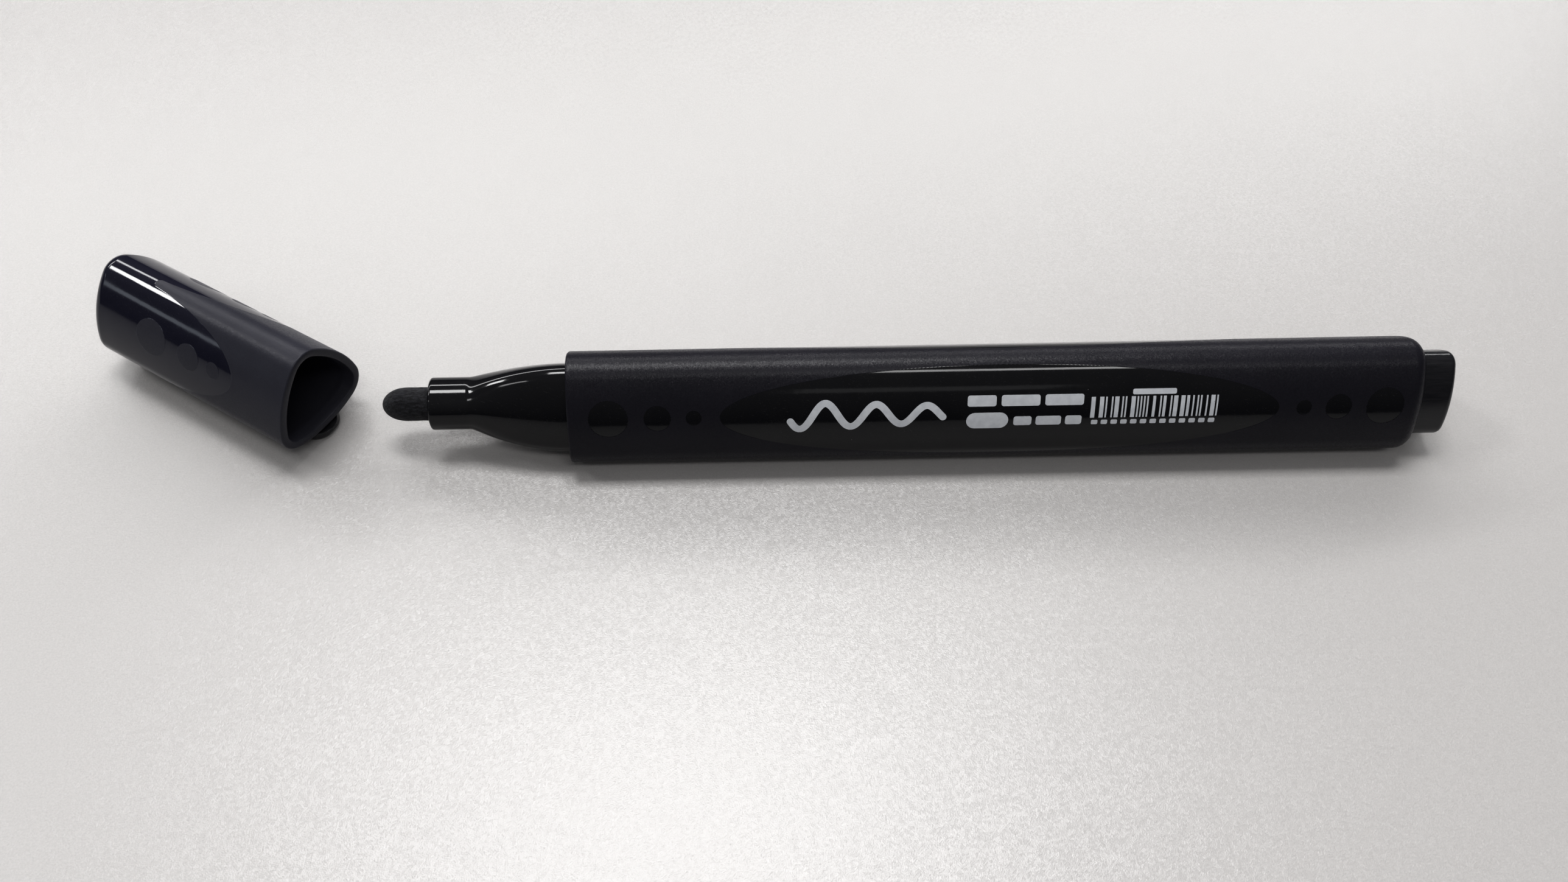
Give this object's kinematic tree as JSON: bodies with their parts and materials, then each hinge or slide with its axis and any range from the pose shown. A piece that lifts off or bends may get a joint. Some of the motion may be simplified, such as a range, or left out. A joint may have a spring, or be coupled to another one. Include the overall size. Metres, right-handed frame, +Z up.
{
  "type": "felt tip marker",
  "caption": "Dry-wipe felt tip marker with a rounded triangular barrel and a bullet nib, with its clip cap off beside it.",
  "frame": {"origin": "on the table, in the middle of the barrel's underside, which lies flat on it", "axes": "+X along the marker from the nib to the rear plug, +Z up, +Y to the side that the cap's closed end turns to"},
  "size_m": [0.1679, 0.0293, 0.0146],
  "materials": {
    "barrel_plastic": "fine spark-eroded matte with polished panels and dots",
    "cap_plastic": "fine spark-eroded matte with polished panels",
    "gloss_plastic": "polished black",
    "nib_felt": "pressed felt soaked with black ink",
    "ink_fibre": "fibre core soaked with black ink",
    "film": "thin wrapped film",
    "seal_plastic": "soft satin"
  },
  "bodies": {
    "barrel": {"barrel": "barrel_plastic", "front_section": "gloss_plastic", "nib": "nib_felt", "ink_reservoir": "ink_fibre", "reservoir_sleeve": "film", "rear_plug": "gloss_plastic"},
    "cap": {"cap_shell": "cap_plastic", "cap_seal": "seal_plastic"},
    "clip": {"cap_clip": "cap_plastic"}
  },
  "joints": [
    {"name": "cap_pull", "type": "slide", "parent": "barrel", "child": "cap", "axis": [-0.8434, 0.5373, 0], "range_m": [0, 0.03]},
    {"name": "clip_flex", "type": "hinge", "parent": "cap", "child": "clip", "pos_m": [-0.10707, 0.01628, 0.00162], "axis": [0.5373, 0.8434, 0], "range_deg": [0, 8], "stiffness_Nm_per_rad": 0.5}
  ]
}
